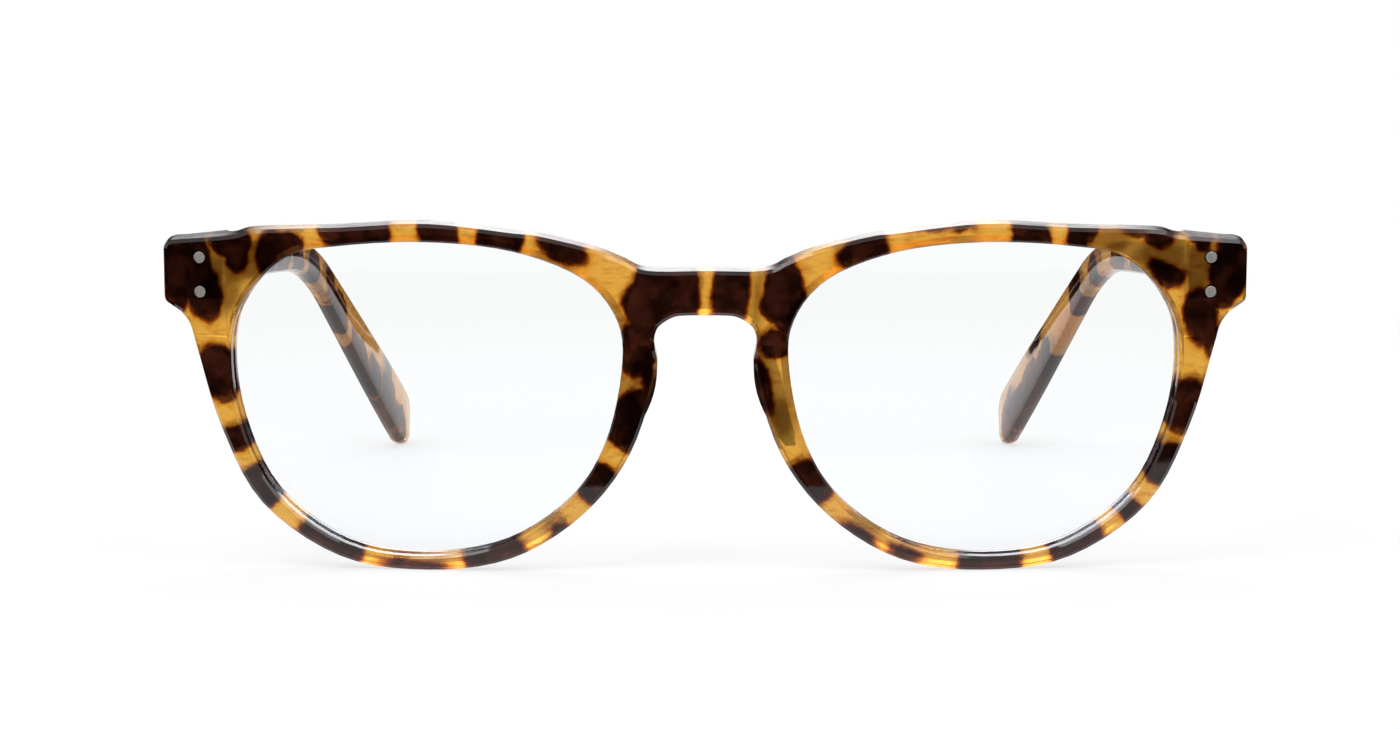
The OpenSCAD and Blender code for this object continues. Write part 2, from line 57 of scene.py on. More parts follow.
def paint(red: int, green: int, blue: int) -> tuple[float, float, float, float]:
    """Turns a colour as a screen shows it into the linear colour that a shader takes.

    Args:
        red: red from 0 to 255.
        green: green from 0 to 255.
        blue: blue from 0 to 255.

    Returns:
        The linear colour with a full alpha.
    """
    shares = [value / 255 for value in (red, green, blue)]
    linear = [s / 12.92 if s <= 0.04045 else ((s + 0.055) / 1.055) ** 2.4 for s in shares]
    return (linear[0], linear[1], linear[2], 1.0)


class Side(Enum):
    """The photograph's left or right half of the glasses."""

    LEFT = -1
    RIGHT = 1

    @property
    def word(self) -> str:
        """The side's word in node names."""
        return self.name.lower()


class Wire:
    """One output of a shader node, usable in plain arithmetic."""

    def __init__(self, bench: "Bench", socket: bpy.types.NodeSocket) -> None:
        """Keeps the socket and the bench that it belongs to.

        Args:
            bench: the node bench of the finish.
            socket: the output that this wire stands for.
        """
        self.bench = bench
        self.socket = socket

    def math(self, operation: str, *others: Union["Wire", Number],
             first: Union["Wire", Number, None] = None) -> "Wire":
        """Adds one Math node.

        Args:
            operation: the Math node's operation.
            others: what the second and third inputs take.
            first: what the first input takes, this wire by default.

        Returns:
            The node's result.
        """
        inputs = dict(enumerate((self if first is None else first, *others)))
        return self.bench.add("ShaderNodeMath", {"operation": operation}, inputs)

    def __add__(self, other: Union["Wire", Number]) -> "Wire":
        """Adds a value."""
        return self.math("ADD", other)

    def __mul__(self, other: Union["Wire", Number]) -> "Wire":
        """Multiplies by a value."""
        return self.math("MULTIPLY", other)

    def __sub__(self, other: Union["Wire", Number]) -> "Wire":
        """Takes a value away."""
        return self.math("SUBTRACT", other)

    def __rsub__(self, other: Union["Wire", Number]) -> "Wire":
        """Takes this wire from a value."""
        return self.math("SUBTRACT", self, first=other)

    def softest_low(self, other: "Wire", blend: float) -> "Wire":
        """The lower of two values, with a rounded join.

        Args:
            other: the other value.
            blend: how far the join is rounded.

        Returns:
            The joined value.
        """
        return self.math("SMOOTH_MIN", other, blend)

    def ease(self, low: float, high: float) -> "Wire":
        """Turns the span from low to high into an eased 0 to 1.

        Args:
            low: the value that becomes 0.
            high: the value that becomes 1.

        Returns:
            The eased share.
        """
        sockets = {"Value": self, "From Min": low, "From Max": high}
        return self.bench.add("ShaderNodeMapRange", {"interpolation_type": "SMOOTHSTEP"}, sockets)

    def vector(self, operation: str, *others: Any, out: Union[int, str] = 0) -> "Wire":
        """Adds one Vector Math node on this wire.

        Args:
            operation: the node's operation.
            others: what its other inputs take.
            out: the output that is wanted.

        Returns:
            The node's result.
        """
        inputs = dict(enumerate((self, *others)))
        return self.bench.add("ShaderNodeVectorMath", {"operation": operation}, inputs, out)


class Bench:
    """The node tree of one finish, and the one way in which nodes are added to it."""

    def __init__(self, name: str) -> None:
        """Starts an empty material.

        Args:
            name: the material's name.
        """
        self.material = bpy.data.materials.new(name)
        self.material.use_nodes = True
        self.tree = self.material.node_tree
        self.tree.nodes.clear()

    @classmethod
    def of_tree(cls, tree: bpy.types.NodeTree) -> "Bench":
        """Takes over a node tree that belongs to no material, such as the world's.

        Args:
            tree: the node tree, which is emptied.

        Returns:
            A bench that adds its nodes to the tree.
        """
        bench = cls.__new__(cls)
        bench.tree = tree
        tree.nodes.clear()
        return bench

    def add(self, kind: str, settings: dict[str, Any] | None = None, sockets: dict[Any, Any] | None = None,
            out: Union[int, str] = 0) -> Wire:
        """Adds a node, sets it, and feeds its sockets.

        Args:
            kind: the node's type.
            settings: the node's own settings; "stops" are the stops of a ramp.
            sockets: values or wires by socket name or number.
            out: the output that is wanted.

        Returns:
            The wanted output.
        """
        node = self.tree.nodes.new(kind)
        for name, value in (settings or {}).items():
            if name == "stops":
                ramp = node.color_ramp
                while len(ramp.elements) < len(value):
                    ramp.elements.new(0.5)
                for element, (place, colour) in zip(ramp.elements, value):
                    element.position = place
                    element.color = colour
            else:
                setattr(node, name, value)
        for name, value in (sockets or {}).items():
            if isinstance(value, Wire):
                self.tree.links.new(value.socket, node.inputs[name])
            else:
                node.inputs[name].default_value = value
        return Wire(self, node.outputs[out])

    def place(self) -> Wire:
        """The place on the piece, in metres."""
        return self.add("ShaderNodeTexCoord", out="Object")

    def place_in_mm(self) -> Wire:
        """The place on the piece, in millimetres."""
        return self.mapped(self.place(), scale=MILLIMETRES)

    def mapped(self, vector: Wire, location: Sequence[float] = (0, 0, 0),
               rotation: Sequence[float] = (0, 0, 0), scale: Sequence[float] = (1, 1, 1)) -> Wire:
        """Reads a place in a turned, moved and scaled frame.

        Args:
            vector: the place.
            location: the frame's middle.
            rotation: the frame's turn.
            scale: the frame's unit along each axis.

        Returns:
            The place in that frame.
        """
        sockets = {"Vector": vector, "Location": location, "Rotation": rotation, "Scale": scale}
        return self.add("ShaderNodeMapping", {"vector_type": "TEXTURE"}, sockets)

    def noise(self, vector: Wire, scale: float, detail: float = 2.0, roughness: float = 0.5,
              out: Union[int, str] = 0) -> Wire:
        """A noise texture.

        Args:
            vector: where it is read.
            scale: how fine it is.
            detail: its octaves.
            roughness: how strong the fine octaves are.
            out: 0 for its value, 1 for its colour.

        Returns:
            The noise.
        """
        sockets = {"Vector": vector, "Scale": scale, "Detail": detail, "Roughness": roughness}
        return self.add("ShaderNodeTexNoise", {"noise_dimensions": "3D"}, sockets, out)

    def blend(self, share: Union[Wire, float], below: Any, above: Any, kind: str = "MIX") -> Wire:
        """Mixes two colours.

        Args:
            share: how much of the upper colour shows.
            below: the lower colour.
            above: the upper colour.
            kind: the blend mode.

        Returns:
            The mixed colour.
        """
        settings = {"data_type": "RGBA", "blend_type": kind}
        return self.add("ShaderNodeMix", settings, {0: share, 6: below, 7: above}, 2)

    def bump(self, height: Wire, distance: float, strength: float = 1.0) -> Wire:
        """A bump from a height.

        Args:
            height: the height, from 0 to 1.
            distance: how far 1 stands out, in metres.
            strength: how much of it shows.

        Returns:
            The normal.
        """
        sockets = {"Height": height, "Distance": distance, "Strength": strength}
        return self.add("ShaderNodeBump", None, sockets)

    def finish(self, **sockets: Any) -> bpy.types.Material:
        """Ends the tree in a Principled shader.

        Args:
            sockets: the shader's inputs, with _ for a blank.

        Returns:
            The material.
        """
        named = {name.replace("_", " "): value for name, value in sockets.items()}
        return self.end(self.add("ShaderNodeBsdfPrincipled", None, named))

    def end(self, shader: Wire) -> bpy.types.Material:
        """Feeds the material's output.

        Args:
            shader: the shader that the surface shows.

        Returns:
            The material.
        """
        self.add_output(shader)
        return self.material

    def add_output(self, shader: Wire, kind: str = "ShaderNodeOutputMaterial") -> None:
        """Adds the output node.

        Args:
            shader: the shader that feeds it.
            kind: the node's type.
        """
        node = self.tree.nodes.new(kind)
        self.tree.links.new(shader.socket, node.inputs["Surface"])


@dataclass(frozen=True)
class Patch:
    """One oval patch of dark plastic in a flat frame, in millimetres and degrees."""

    across: float
    up: float
    half_width: float
    half_height: float
    turn: float = 0.0

    def depth(self, bench: Bench, flat: Wire) -> Wire:
        """How far a place is outside the patch.

        Args:
            bench: the node bench.
            flat: the place in the flat frame, its depth taken out.

        Returns:
            The distance in millimetres, below 0 inside.
        """
        local = bench.mapped(flat, (self.across, 0, self.up), (0, math.radians(self.turn), 0),
                             (self.half_width, 1, self.half_height))
        reach = local.vector("LENGTH", out="Value")
        return (reach - 1) * min(self.half_width, self.half_height)

    def counted_from(self, mark: tuple[float, float]) -> "Patch":
        """The same patch, with its place counted from a landmark.

        Args:
            mark: the landmark's place across and up.

        Returns:
            The moved patch.
        """
        return replace(self, across=self.across + mark[0], up=self.up + mark[1])


@dataclass(frozen=True)
class Eye:
    """One rim's middle line, taken as an oval round its lens, in millimetres."""

    across: float
    up: float
    half_width: float
    half_height: float


@dataclass(frozen=True)
class RimPatch:
    """A dark patch on a rim, by its bearing in degrees clockwise from the rim's top."""

    bearing: float
    out: float
    along: float
    deep: float
    tilt: float = 0.0

    def on(self, eye: Eye) -> Patch:
        """Places the patch on a rim.

        Args:
            eye: the rim's middle line.

        Returns:
            The patch, out from that line, with its half length along it.
        """
        angle = math.radians(self.bearing)
        reach = 1 / math.hypot(math.sin(angle) / eye.half_width, math.cos(angle) / eye.half_height) + self.out
        return Patch(eye.across + reach * math.sin(angle), eye.up + reach * math.cos(angle),
                     self.along, self.deep, self.bearing + self.tilt)


@dataclass(frozen=True)
class TortoiseAcetate:
    """Polished translucent sheet with dark patches in clear amber, given one by one.

    The patches are drawn in a flat frame that is placed on the piece, and their edges are
    roughened by a noise, as the poured dye of such sheet is.
    """

    name: str
    location: tuple[float, float, float]
    rotation: tuple[float, float, float]
    patches: tuple[Patch, ...]
    clouds: tuple[Patch, ...]
    wander: float = 0.55
    amber: tuple = paint(226, 156, 44)
    pale_amber: tuple = paint(238, 182, 76)
    rust: tuple = paint(138, 62, 14)
    umber: tuple = paint(66, 18, 7)
    dark: tuple = paint(26, 9, 5)
    brown: tuple = paint(70, 32, 21)
    honey: tuple = paint(206, 140, 84)
    smoke: tuple = paint(120, 92, 52)
    wall_haze: float = 0.07
    coarse_wander: float = 2.4
    fine_wander: float = 1.6
    patch_join: float = 0.2
    edge_fade: tuple[float, float] = (-0.75, 0.75)
    mottle_fade: tuple[float, float] = (-0.7, -0.2)
    cloud_fade: tuple[float, float] = (-0.8, 1.2)
    wall_facing: tuple[float, float] = (0.3, 0.6)
    vein_squeeze: tuple[float, float, float] = (0.5, 0.5, 1.6)
    vein_share: float = 0.6
    cloud_share: float = 0.75
    polish: float = 0.03
    wear: float = 0.04
    ripple_depth: float = 0.00002

    def build(self) -> bpy.types.Material:
        """Makes the material.

        Returns:
            The material.
        """
        bench = Bench(self.name)
        place = bench.mapped(bench.place(), self.location, self.rotation, MILLIMETRES)
        flat = self.wandered(bench, place).vector("MULTIPLY", (1, 0, 1))
        colour = self.dyed(bench, place, self.joined(bench, flat, self.patches))
        if self.clouds:
            shade = (1 - self.joined(bench, flat, self.clouds).ease(*self.cloud_fade)) * self.cloud_share
            colour = bench.blend(shade, colour, self.smoke, "MULTIPLY")
        facing = bench.mapped(bench.add("ShaderNodeNewGeometry", out="Normal"), rotation=self.rotation)
        depth = bench.add("ShaderNodeSeparateXYZ", None, {"Vector": facing}, 1).math("ABSOLUTE")
        wall = 1 - depth.ease(*self.wall_facing)
        rough = bench.noise(place, scale=3.0, detail=3.0) * self.wear + self.polish + wall * self.wall_haze
        ripple = bench.bump(bench.noise(place, scale=0.35, detail=1.0), self.ripple_depth, 0.5)
        return bench.finish(Base_Color=colour, Roughness=rough, Normal=ripple, IOR=1.49,
                            Specular_IOR_Level=0.4, Transmission_Weight=0.7)

    def wandered(self, bench: Bench, place: Wire) -> Wire:
        """Shifts a place by a coarse and a fine noise, so that the patches' edges wander.

        Args:
            bench: the node bench.
            place: the place in millimetres.

        Returns:
            The shifted place.
        """
        middle = (0.5, 0.5, 0.5)
        coarse = bench.noise(place, scale=0.22, detail=1.0, roughness=0.4, out=1).vector("SUBTRACT", middle)
        fine = bench.noise(place, scale=0.9, detail=2.0, roughness=0.55, out=1).vector("SUBTRACT", middle)
        moved = place.vector("ADD", coarse.vector("MULTIPLY", (self.wander * self.coarse_wander,) * 3))
        return moved.vector("ADD", fine.vector("MULTIPLY", (self.wander * self.fine_wander,) * 3))

    def dyed(self, bench: Bench, place: Wire, edge: Wire) -> Wire:
        """Colours the sheet from the dark of a patch to clear amber, with mottle and veins.

        Args:
            bench: the node bench.
            place: the place in millimetres.
            edge: the distance to the nearest patch.

        Returns:
            The colour.
        """
        stops = ((0.0, self.dark), (0.10, self.dark), (0.26, self.umber), (0.44, self.rust),
                 (0.68, self.amber), (1.0, self.pale_amber))
        colour = bench.add("ShaderNodeValToRGB", {"stops": stops}, {"Fac": edge.ease(*self.edge_fade)})
        mottle = bench.noise(place, scale=0.28, detail=3.0, roughness=0.55).ease(0.42, 0.66)
        inside = 1 - edge.ease(*self.mottle_fade)
        colour = bench.blend(mottle * inside, colour, self.brown)
        squeezed = place.vector("MULTIPLY", self.vein_squeeze)
        veins = bench.noise(squeezed, scale=1.0, detail=3.0, roughness=0.6).ease(0.48, 0.72)
        return bench.blend(veins * self.vein_share, colour, self.honey, "MULTIPLY")

    def joined(self, bench: Bench, flat: Wire, patches: Sequence[Patch]) -> Wire:
        """The distance to the nearest of some patches.

        Args:
            bench: the node bench.
            flat: the place in the flat frame.
            patches: the patches.

        Returns:
            The distance in millimetres.
        """
        edge = patches[0].depth(bench, flat)
        for patch in patches[1:]:
            edge = edge.softest_low(patch.depth(bench, flat), self.patch_join)
        return edge


@dataclass(frozen=True)
class PadAcetate:
    """Dark polished plastic of the bonded nose pads, with brown clouds in it."""

    name: str = "pad_acetate_finish"
    dark: tuple = paint(40, 18, 10)
    brown: tuple = paint(96, 44, 18)
    polish: float = 0.1
    wear: float = 0.08

    def build(self) -> bpy.types.Material:
        """Makes the material.

        Returns:
            The material.
        """
        bench = Bench(self.name)
        place = bench.place_in_mm()
        mottle = bench.noise(place, scale=0.5, detail=3.0, roughness=0.6).ease(0.35, 0.7)
        colour = bench.blend(mottle, self.dark, self.brown)
        rough = bench.noise(place, scale=4.0, detail=2.0) * self.wear + self.polish
        return bench.finish(Base_Color=colour, Roughness=rough, IOR=1.49, Transmission_Weight=0.25,
                            Coat_Weight=0.5, Coat_Roughness=0.04)


@dataclass(frozen=True)
class LensPlastic:
    """Clear coated lens plastic with the faint cool sheen of its coating."""

    name: str = "lens_plastic_finish"
    tint: tuple = paint(253, 254, 254)
    sheen: tuple = paint(222, 228, 250)
    coating_share: float = 0.4
    polish: float = 0.01
    wear: float = 0.02

    def build(self) -> bpy.types.Material:
        """Makes the material.

        Returns:
            The material.
        """
        bench = Bench(self.name)
        stretched = bench.place_in_mm().vector("MULTIPLY", (1.0, 1.0, 0.4))
        wipe = bench.noise(stretched, scale=0.2, detail=4.0, roughness=0.65)
        coating = bench.add("ShaderNodeBsdfPrincipled", None, {
            "Base Color": self.sheen, "Metallic": 1.0, "Roughness": wipe * self.wear + self.polish})
        clear = bench.add("ShaderNodeBsdfTransparent", None, {"Color": self.tint})
        mirror = bench.add("ShaderNodeFresnel", None, {"IOR": 1.5}) * self.coating_share
        return bench.end(bench.add("ShaderNodeMixShader", None, {0: mirror, 1: clear, 2: coating}))


@dataclass(frozen=True)
class HingeMetal:
    """Satin nickel alloy, with the fine lines of its milling."""

    name: str = "hinge_metal_finish"
    bright: tuple = paint(206, 203, 199)
    dull: tuple = paint(168, 162, 154)
    line_squeeze: tuple[float, float, float] = (3.0, 3.0, 26.0)
    line_depth: float = 0.00001
    stain_share: float = 0.5
    polish: float = 0.22
    wear: float = 0.2

    def build(self) -> bpy.types.Material:
        """Makes the material.

        Returns:
            The material.
        """
        bench = Bench(self.name)
        place = bench.place_in_mm()
        squeezed = place.vector("MULTIPLY", self.line_squeeze)
        lines = bench.noise(squeezed, scale=1.0, detail=3.0, roughness=0.6)
        stain = bench.noise(place, scale=0.6, detail=3.0).ease(0.4, 0.8)
        colour = bench.blend(stain * self.stain_share, self.bright, self.dull)
        return bench.finish(Base_Color=colour, Metallic=1.0, Roughness=lines * self.wear + self.polish,
                            Normal=bench.bump(lines, self.line_depth, 0.5))


@dataclass(frozen=True)
class RivetMetal:
    """A rivet's face, matte in the middle with a polished ring round it; the ring is painted brighter as a
    highlight, and the edge is painted darker as a shadow.
    """

    name: str
    centre: tuple[float, float, float]
    axis_turn: tuple[float, float, float]
    radius: float
    # where the polished ring, painted brighter as a highlight, begins and where it is full
    ring_start: tuple[float, float] = (0.76, 0.82)
    # where the painted shadow round the rivet's edge begins and where it is full
    seam_start: tuple[float, float] = (0.90, 0.96)
    dull: tuple = paint(140, 134, 128)
    pale: tuple = paint(212, 207, 200)
    # painted highlight: the bright colour of the polished ring
    bright: tuple = paint(236, 232, 226)
    # painted shadow: the dark colour round the rivet's edge
    dirt: tuple = paint(60, 52, 46)
    polish: float = 0.16
    matte: float = 0.38
    grain_depth: float = 0.00004

    def build(self) -> bpy.types.Material:
        """Makes the material.

        Returns:
            The material.
        """
        bench = Bench(self.name)
        local = bench.mapped(bench.place(), self.centre, self.axis_turn, MILLIMETRES)
        reach = local.vector("MULTIPLY", (1, 1, 0)).vector("LENGTH", out="Value")
        ring, edge_shadow_share = (reach.ease(self.radius * low, self.radius * high)
                      for low, high in (self.ring_start, self.seam_start))
        grain = bench.noise(local, scale=7.0, detail=3.0, roughness=0.7)
        face = bench.blend(grain.ease(0.35, 0.65), self.dull, self.pale)
        # the ring is painted brighter as a highlight, and the edge is painted darker as a shadow
        colour = bench.blend(edge_shadow_share, bench.blend(ring, face, self.bright), self.dirt)
        rough = (1 - ring) * self.matte + self.polish
        return bench.finish(Base_Color=colour, Metallic=1.0, Roughness=rough,
                            Normal=bench.bump(grain * (1 - ring), self.grain_depth, 0.8))


class Lathe:
    """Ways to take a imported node's mesh and turn it into a dressed piece."""

    @staticmethod
    def nothing_selected() -> None:
        """Leaves edit mode and deselects everything."""
        if bpy.context.mode != "OBJECT":
            bpy.ops.object.mode_set(mode="OBJECT")
        bpy.ops.object.select_all(action="DESELECT")

    @staticmethod
    def polished(node: str, body: str, slot: str, sharp: float = 24.0) -> bpy.types.Object:
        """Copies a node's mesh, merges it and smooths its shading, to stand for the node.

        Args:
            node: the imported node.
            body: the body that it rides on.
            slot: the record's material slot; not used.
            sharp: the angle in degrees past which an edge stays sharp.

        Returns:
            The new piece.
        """
        Lathe.nothing_selected()
        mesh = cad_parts[node].data.copy()
        piece = bpy.data.objects.new(f"{node}_polished", mesh)
        bpy.context.scene.collection.objects.link(piece)
        mesh.materials.clear()
        bpy.context.view_layer.objects.active = piece
        piece.select_set(True)
        if mesh.has_custom_normals:
            bpy.ops.mesh.customdata_custom_splitnormals_clear()
        bpy.ops.object.mode_set(mode="EDIT")
        bpy.ops.mesh.select_all(action="SELECT")
        bpy.ops.mesh.remove_doubles(threshold=0.000002)
        bpy.ops.mesh.dissolve_limited(angle_limit=math.radians(0.3))
        bpy.ops.object.mode_set(mode="OBJECT")
        bpy.ops.object.shade_smooth_by_angle(angle=math.radians(sharp))
        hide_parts(node)
        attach(piece, body)
        log.info("%s: %d faces", piece.name, len(mesh.polygons))
        return piece

    @staticmethod
    def dress(piece: bpy.types.Object, material: bpy.types.Material) -> None:
        """Gives a piece one finish.

        Args:
            piece: the piece.
            material: the finish.
        """
        piece.data.materials.clear()
        piece.data.materials.append(material)


@dataclass
class Front:
    """The plastic front with its lenses and bonded nose pads."""

    lean: float = FRONT_LEAN
    stand: tuple[float, float, float] = (0.0, -0.0728885, -0.0002541)
    rim_middle: float = 0.5

    def mark(self, node: str) -> tuple[float, float]:
        """Finds a node's middle on the front's own face.

        Args:
            node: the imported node.

        Returns:
            The place across and up, in millimetres.
        """
        low, high = (Vector(corner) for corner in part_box(node))
        middle = ((low + high) / 2 - Vector(self.stand)) / MM
        return middle.x, middle.z * math.cos(self.lean) - middle.y * math.sin(self.lean)

    def eye(self, side: Side) -> Eye:
        """Finds a rim's middle line from its packed lens.

        Args:
            side: the side of the rim.

        Returns:
            The oval that the rim follows.
        """
        low, high = (Vector(corner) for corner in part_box(f"{side.word}_lens"))
        size = (high - low) / MM
        across, up = self.mark(f"{side.word}_lens")
        half_height = size.z / 2 / math.cos(self.lean) + self.rim_middle
        return Eye(across, up, size.x / 2 + self.rim_middle, half_height)

    def build(self) -> None:
        """Makes and dresses the front's pieces."""
        frame_piece = Lathe.polished("front_frame", "front", "tortoise_acetate")
        finish = TortoiseAcetate("front_tortoise", self.stand, (self.lean, 0, 0),
                                 self.patches(), self.clouds())
        Lathe.dress(frame_piece, finish.build())
        pad_finish = PadAcetate().build()
        lens_finish = LensPlastic().build()
        for side in Side:
            Lathe.dress(Lathe.polished(f"{side.word}_nose_pad", "front", "pad_acetate", 40.0), pad_finish)
            Lathe.dress(Lathe.polished(f"{side.word}_lens", "front", "lens_plastic"), lens_finish)

    def patches(self) -> tuple[Patch, ...]:
        """The dark patches of the front: round each rim, at each end piece and on the bridge.

        Returns:
            The patches.
        """
        left = self.eye(Side.LEFT)
        right = self.eye(Side.RIGHT)
        left_rim = (
            RimPatch(313, 3.0, 2.5, 3.5, 45), RimPatch(318, 3.0, 2, 2), RimPatch(333, 2.5, 2.5, 5, -7),
            RimPatch(339, 1.5, 4, 5.5, 20), RimPatch(3, 0.5, 2.5, 5.5, -27), RimPatch(24, 1, 3, 5, -8),
            RimPatch(41, 3, 3.75, 1.75, -16), RimPatch(95, 0.5, 4.5, 4, 10), RimPatch(116, -1, 2.75, 3),
            RimPatch(135, 0, 1.25, 1), RimPatch(157, -0.5, 4.25, 3, 13), RimPatch(185, 0, 5, 1),
            RimPatch(214, 0, 4.75, 3.5, -6), RimPatch(241, 0, 3, 3, -7), RimPatch(257, -0.5, 1.75, 3.5, -11),
            RimPatch(276, 1, 4, 3, -22),
        )
        right_rim = (
            RimPatch(321, 2, 3.5, 2, 15), RimPatch(324, 2, 2.25, 2.5), RimPatch(343, 1.5, 3, 0.5, 12),
            RimPatch(353, 1, 2, 0.75, 7), RimPatch(15, 0.5, 2.5, 5.5, -29), RimPatch(29, 2, 1.5, 5, -25),
            RimPatch(30, 3, 2, 2), RimPatch(77, 4.75, 3, 1.5), RimPatch(93, 0, 4, 3, 14),
            RimPatch(111, 0, 3.25, 3, 9), RimPatch(128, 0.5, 1.5, 3, 6), RimPatch(147, 0, 4, 3, 7),
            RimPatch(177, -0.5, 4.5, 3), RimPatch(207, -0.5, 2.5, 1, -7), RimPatch(223, 0, 3, 1.25, -11),
            RimPatch(245, -1, 3.5, 3, -11),
        )
        left_end = (Patch(-2, -0.75, 3.75, 5), Patch(0.5, -4.75, 2.5, 4.25, -8), Patch(-3, -4.75, 1.75, 3),
                    Patch(-2.5, 1.5, 2.5, 2.5), Patch(4.25, 2.25, 2.75, 2.25), Patch(5, 0, 1.5, 2.25))
        right_end = (Patch(2.5, -2, 3, 4), Patch(1.25, -5.25, 2.5, 1.75), Patch(2.5, 1.5, 2, 1.25),
                     Patch(-1.25, 2.5, 1.75, 1), Patch(-1.25, 1.5, 1, 1), Patch(-6.75, 3, 2.25, 1.75),
                     Patch(-9.5, 3.75, 2.75, 0.75, 12), Patch(-5.5, -2.25, 2.5, 1.75, 20),
                     Patch(-7.25, -1, 1.5, 1, 20), Patch(-1.25, -8, 2.5, 4, -8))
        bridge = (Patch(-5, 14.5, 4.5, 6.5), Patch(-8, 13, 3, 3.25), Patch(-8.75, 7.5, 2.75, 4.25, 8),
                  Patch(-7.5, 4.75, 1, 4.5), Patch(3.25, 14.5, 2.5, 7, 6), Patch(10.5, 14.5, 2.75, 5.5, -6),
                  Patch(9.25, 13, 2.25, 2.5), Patch(9.25, 8, 2.5, 2), Patch(7.5, 2.5, 1.25, 4.5, -12))
        left_mark = self.mark("left_upper_front_rivet")
        right_mark = self.mark("right_upper_front_rivet")
        return (*(patch.on(left) for patch in left_rim), *(patch.on(right) for patch in right_rim),
                *(patch.counted_from(left_mark) for patch in left_end),
                *(patch.counted_from(right_mark) for patch in right_end),
                *(patch.counted_from((0.0, left.up)) for patch in bridge))

    def clouds(self) -> tuple[Patch, ...]:
        """The smoky zones of the front, over the hinge leaves and beside the nose.

        Returns:
            The zones.
        """
        left_mark = self.mark("left_upper_front_rivet")
        right_mark = self.mark("right_upper_front_rivet")
        left_end = (Patch(3.25, -3.5, 2.5, 4), Patch(7.5, 0, 2, 3.5, 40), Patch(0, 3, 6, 1))
        right_end = (Patch(-2, -1.5, 2, 3), Patch(-6.5, 0.25, 3.5, 1.75), Patch(-13.5, 2.5, 3, 1.75, -20))
        return (*(patch.counted_from(left_mark) for patch in left_end),
                *(patch.counted_from(right_mark) for patch in right_end),
                Patch(6.75, 14.5, 0.5, 5, 6).counted_from((0.0, self.eye(Side.LEFT).up)),
                RimPatch(136, 0, 1.5, 1.25).on(self.eye(Side.LEFT)),
                RimPatch(266, -0.5, 2.25, 1.5).on(self.eye(Side.RIGHT)))


@dataclass
class Hinges:
    """The two barrel hinges with their screws and rivets."""

    radius: float = 0.9
    sharp: float = 30.0

    def build(self) -> None:
        """Makes and dresses the hinges' pieces."""
        metal = HingeMetal().build()
        for side in Side:
            arm = f"{side.word}_arm"
            bodies = {f"{side.word}_front_hinge_leaf": "front", f"{side.word}_hinge_screw": "front",
                      f"{side.word}_temple_hinge_leaf": arm}
            for node, body in bodies.items():
                Lathe.dress(Lathe.polished(node, body, "hinge_metal", self.sharp), metal)
            for row in ("upper", "lower"):
                self.rivet(f"{side.word}_{row}_front_rivet", "front", (math.pi / 2 + FRONT_LEAN, 0, 0))
            for row in ("front", "rear"):
                self.rivet(f"{side.word}_{row}_temple_rivet", arm, (0, math.pi / 2, 0))

    def rivet(self, node: str, body: str, turn: tuple[float, float, float]) -> None:
        """Dresses one rivet.

        Args:
            node: the rivet's node.
            body: the body that it rides on.
            turn: the turn that points its axis up.
        """
        low, high = (Vector(corner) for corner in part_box(node))
        centre = tuple((low + high) / 2)
        piece = Lathe.polished(node, body, "rivet_metal", self.sharp)
        Lathe.dress(piece, RivetMetal(f"{node}_finish", centre, turn, self.radius).build())


@dataclass
class Temples:
    """The two folding temples, seen through the lenses."""

    amber: tuple = paint(206, 144, 58)
    pale_amber: tuple = paint(224, 166, 86)
    wander: float = 1.3

    def build(self) -> None:
        """Makes and dresses both temples."""
        for side in Side:
            piece = Lathe.polished(f"{side.word}_temple", f"{side.word}_arm", "tortoise_acetate")
            finish = TortoiseAcetate(f"{side.word}_temple_tortoise", (0, 0, 0), (0, 0, math.pi / 2),
                                     self.patches(side), (), wander=self.wander,
                                     amber=self.amber, pale_amber=self.pale_amber)
            Lathe.dress(piece, finish.build())

    @staticmethod
    def patches(side: Side) -> tuple[Patch, ...]:
        """The dark patches of a temple, as millimetres back and up.

        Args:
            side: the side of the temple.

        Returns:
            The patches, from the hinge to the tip.
        """
        if side is Side.LEFT:
            return (Patch(-59, 40, 5, 7), Patch(-46, 38, 5.5, 3.5, 25), Patch(-34, 40, 4, 7, 20),
                    Patch(-27, 35, 5, 3, -30), Patch(-14, 36, 4.5, 6, 25), Patch(-4, 34, 5, 2.5, -20),
                    Patch(5, 38, 4, 6, 15), Patch(13, 34, 3.5, 3.5, 30), Patch(22, 32.5, 3, 3.5, 20),
                    Patch(31, 30, 3, 3, 20), Patch(35, 24.5, 4.5, 3.5, 40), Patch(43, 20, 2.5, 1.5, 50),
                    Patch(46, 16, 4, 3.5, 40), Patch(53, 12, 4.5, 4.5, 60), Patch(61, 8, 4.5, 5.5, 25),
                    Patch(64, 14, 2.5, 2), Patch(67, 3, 4, 4.5, 20))
        return (Patch(-61, 41, 5, 7), Patch(-49, 37, 5, 3, -25), Patch(-38, 39, 4, 7, -20),
                Patch(-25, 38, 6, 3.5, 20), Patch(-13, 34, 4, 6, -25), Patch(-2, 37, 5, 4, 20),
                Patch(10, 35, 3.5, 4, 30), Patch(23, 32, 3, 3, 20),
                Patch(32.5, 27.5, 3.5, 5, 30), Patch(49, 15.5, 5, 3.5, 40), Patch(56, 18, 4, 1.5, 35),
                Patch(57, 11, 6, 4, 40), Patch(63, 6, 6, 4.5, 40), Patch(69, 5, 3, 5))


